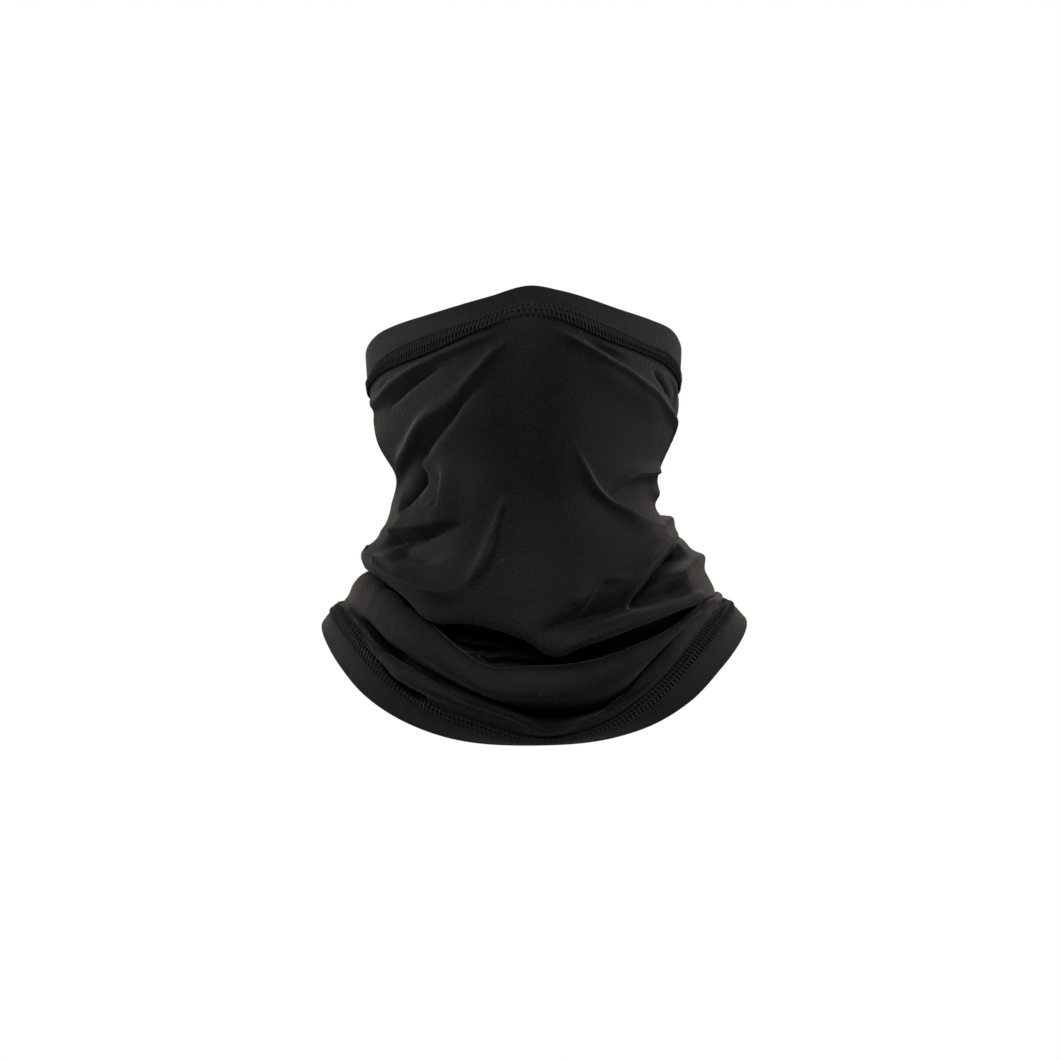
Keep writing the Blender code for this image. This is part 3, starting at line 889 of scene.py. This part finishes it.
def back_seam(cloth, finish):
    """The flat seam down the centre back, with zigzags on both faces and two needle lines."""
    first, last = JOIN_TOP + 0.75 * STEPS, JOIN_LOW - 0.75 * STEPS
    fine_rows = np.arange(first, last, 0.25)
    down = cloth.read(cloth.down, fine_rows, np.zeros_like(fine_rows))
    count = int((down[-1] - down[0]) / STITCH)
    starts = np.interp(down[0] + np.arange(count) * STITCH, down, fine_rows)
    spans = list(zip(starts, np.append(starts[1:], last)))
    column_width = cloth.round[int((first + last) / 2)] / COLUMNS
    rows, columns, lifts = back_zigzag(spans, SEAM_WIDTH / 2 / column_width)
    normal = cloth.read(cloth.normal, rows, columns)
    made = []
    for side, piece in ((1.0, "cover"), (-1.0, "looper")):
        line = (cloth.at(rows, columns, lifts * side), normal, False)
        made.append(threads(f"back_seam_{piece}_zigzag", [line], BACK_COVER_RADII, finish))
    for number, side in ((1, -0.5), (2, 0.5)):
        column = np.full(6, side * NEEDLE_PITCH / column_width)
        places = [(a + (b - a) * np.linspace(0.06, 0.94, 6), column) for a, b in spans]
        lines = stitches(cloth, places, CLOTH / 2 + 0.0006, 0.0004, 1.0)
        made.append(threads(f"back_seam_needle_line_{number}", lines, NEEDLE_RADII, finish))
    return made


# ---------------------------------------------------------------- the stage

def soft_light(name, place, size, power):
    """A warm rectangular light that faces the object."""
    data = bpy.data.lights.new(name, "AREA")
    data.shape = "RECTANGLE"
    data.size, data.size_y = size
    data.energy = power
    data.spread = math.radians(70)
    data.color = (1.0, 0.965, 0.915)
    lamp = bpy.data.objects.new(name, data)
    lamp.location = place
    lamp.rotation_euler = (-lamp.location).to_track_quat("-Z", "Y").to_euler()
    bpy.context.scene.collection.objects.link(lamp)


def seen_by_camera(tree, otherwise, value):
    """One strength where the camera looks straight at a thing, and another for the light that it gives."""
    seen = node(tree, "ShaderNodeLightPath", {}).outputs["Is Camera Ray"]
    inputs = {"Value": seen, "To Min": otherwise, "To Max": value}
    return node(tree, "ShaderNodeMapRange", inputs).outputs["Result"]


def white_world():
    """A white background that gives very little light."""
    world = bpy.data.worlds.new("studio")
    bpy.context.scene.world = world
    world.use_nodes = True
    tree = world.node_tree
    strength = seen_by_camera(tree, 0.006, 1.0)
    fill(tree, tree.nodes["Background"], {"Color": WHITE, "Strength": strength})


def pale_floor():
    """A plain floor well below the object, which looks pale without lighting the cloth from below."""
    z, reach = cad_low[2] - 0.48, 1.2
    corners = [(-reach, -reach, z), (reach, -reach, z), (reach, reach, z), (-reach, reach, z)]
    mesh = bpy.data.meshes.new("floor")
    mesh.from_pydata(corners, [], [(0, 1, 2, 3)])
    floor = bpy.data.objects.new("floor", mesh)
    bpy.context.scene.collection.objects.link(floor)
    paint, tree, shader = material("pale_floor")
    fill(tree, shader, {
        "Base Color": (0.75, 0.75, 0.75, 1.0),
        "Roughness": 0.9,
        "Emission Color": WHITE,
        "Emission Strength": seen_by_camera(tree, 0.0, 0.75),
    })
    paint.cycles.emission_sampling = "NONE"
    mesh.materials.append(paint)


def camera():
    """The photograph's view, level and from straight ahead."""
    eye = bpy.data.cameras.new("camera")
    eye.lens, eye.sensor_width = 155.24, 36.0
    made = bpy.data.objects.new("camera", eye)
    made.location = (-0.002, -2.4, -0.013)
    made.rotation_euler = (math.radians(90), 0.0, 0.0)
    bpy.context.scene.collection.objects.link(made)
    bpy.context.scene.camera = made


def stage():
    """The background, the floor, the lights and the camera."""
    bpy.context.scene.view_settings.view_transform = "Standard"
    white_world()
    pale_floor()
    soft_light("left_softbox", (-1.25, 0.30, 0.30), (0.6, 1.2), 0.85)
    soft_light("right_softbox", (1.25, 0.30, 0.30), (0.6, 1.2), 0.80)
    soft_light("front_softbox", (-0.1, -1.9, 1.0), (1.3, 0.7), 2.6)
    soft_light("top_softbox", (0.0, -0.6, 1.7), (1.0, 0.6), 0.9)
    soft_light("back_softbox", (0.2, 1.9, 1.3), (1.4, 0.7), 1.6)
    camera()


# ---------------------------------------------------------------- the gaiter

def stands_for(seam, pieces):
    """Says which packed threads a seam's pieces replace: the two zigzags, then the needle lines."""
    for number, piece in enumerate(pieces, start=-1):
        kind = {-1: "cover_thread", 0: "looper_thread"}.get(number, f"needle_thread_{number}")
        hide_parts(f"{seam}_{kind}")
    return pieces


def main():
    stage()
    bare = down_the_columns(np.array([ring(row) for row in ROWS]))
    cloth = Cloth(relaxed(raised(bare, FOLDS), SMOOTHING))
    knit, thread = jersey(), sewing_thread()

    tube = fabric_tube(cloth, knit)
    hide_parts("fabric_tube")
    top = hem(cloth, "jersey_top_hem", step_of("edge_top"), JOIN_TOP, knit)
    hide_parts("top_hem")
    low = hem(cloth, "jersey_bottom_hem", step_of("edge_low"), JOIN_LOW, knit)
    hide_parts("bottom_hem")
    sewn = []
    for name, upper in (("top_seam", "seam_top_upper"), ("bottom_seam", "seam_low_upper")):
        pieces = hem_seam(cloth, name, step_of(upper), step_of(upper, 1.0), thread, name == "top_seam")
        sewn += stands_for(name, pieces)
    sewn += stands_for("back_seam", back_seam(cloth, thread))
    for piece in [tube, top, low]:
        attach(piece, "root")
    for piece in sewn:
        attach(piece, "root")


main()
